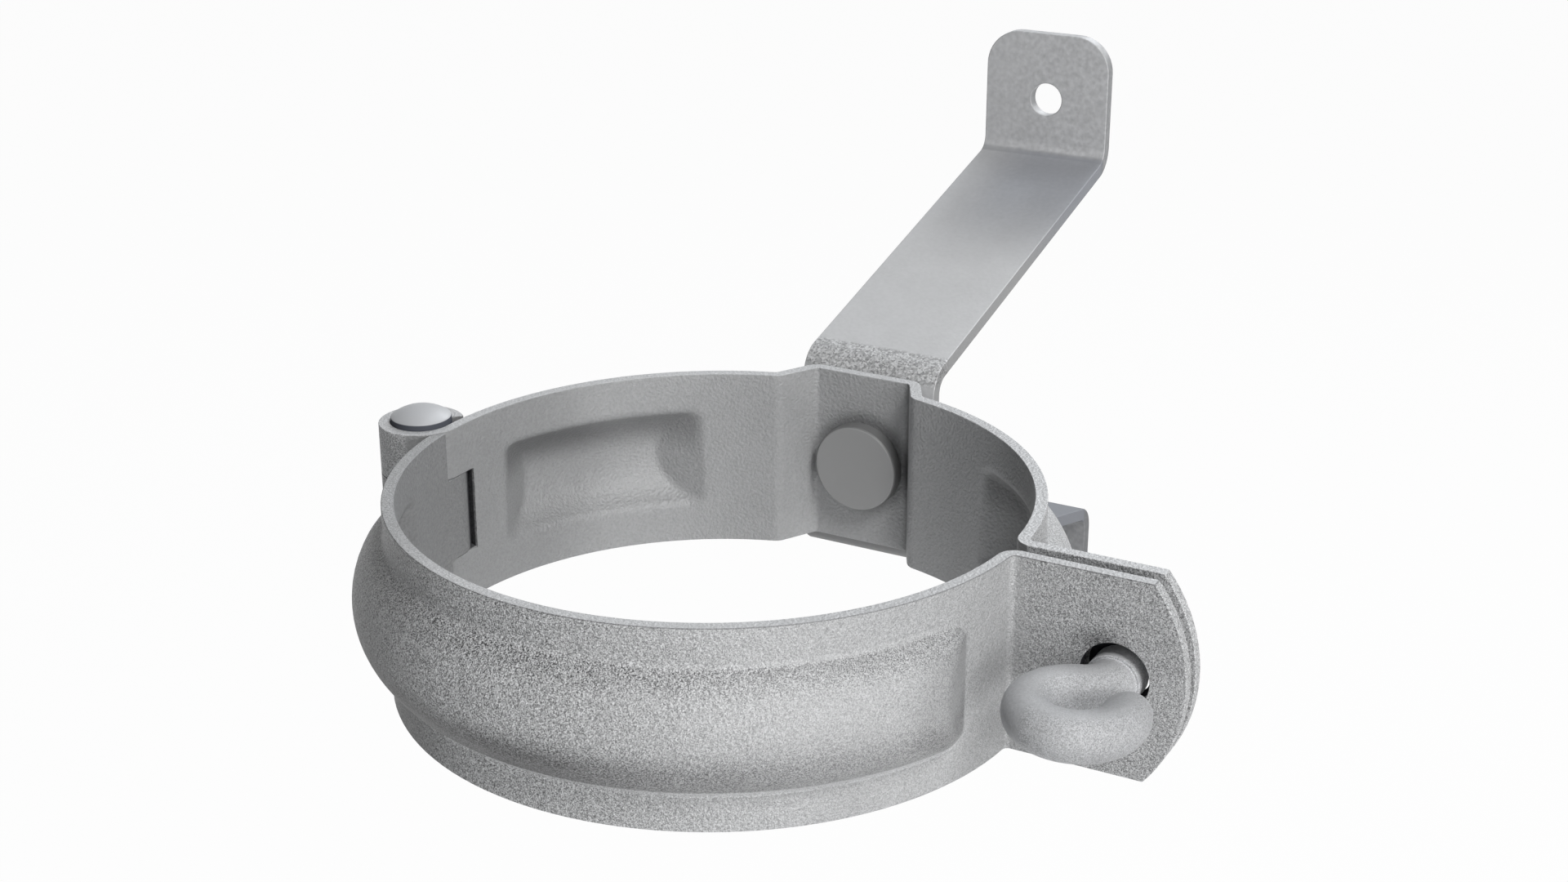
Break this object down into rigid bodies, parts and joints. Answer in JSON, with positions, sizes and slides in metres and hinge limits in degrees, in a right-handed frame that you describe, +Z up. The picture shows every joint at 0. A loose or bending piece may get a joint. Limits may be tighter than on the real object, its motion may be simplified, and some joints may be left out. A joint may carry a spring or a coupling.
{
  "type": "downpipe bracket",
  "caption": "Hinged band clamp for a round downpipe, closed by a bent eye pin through its lugs and held off the wall by a folded strap with screw tabs.",
  "frame": {"origin": "centre of the pipe bore at half the height of the band", "axes": "+Z up along the pipe, +Y towards the wall, +X towards the closing lugs, -X towards the hinge"},
  "size_m": [0.1438, 0.1957, 0.1262],
  "materials": {
    "band_steel": "galvanised sheet, matte, fine grain",
    "strap_steel": "galvanised strip, matte, fine grain",
    "pin_steel": "zinc plated, smooth satin",
    "wire_steel": "galvanised wire, matte, fine grain"
  },
  "bodies": {
    "wall_side": {"rear_half": "band_steel", "hinge_pin": "pin_steel", "wall_strap": "strap_steel", "strap_rivet": "pin_steel"},
    "front_clamp": {"front_half": "band_steel"},
    "closing_pin": {"eye_pin": "wire_steel"}
  },
  "joints": [
    {"name": "clamp_swing", "type": "hinge", "parent": "wall_side", "child": "front_clamp", "pos_m": [-0.05716, 0, 0], "axis": [0, 0, 1], "range_deg": [-120, 0]},
    {"name": "pin_pull", "type": "slide", "parent": "front_clamp", "child": "closing_pin", "axis": [0, -1, 0], "range_m": [0, 0.014]}
  ]
}
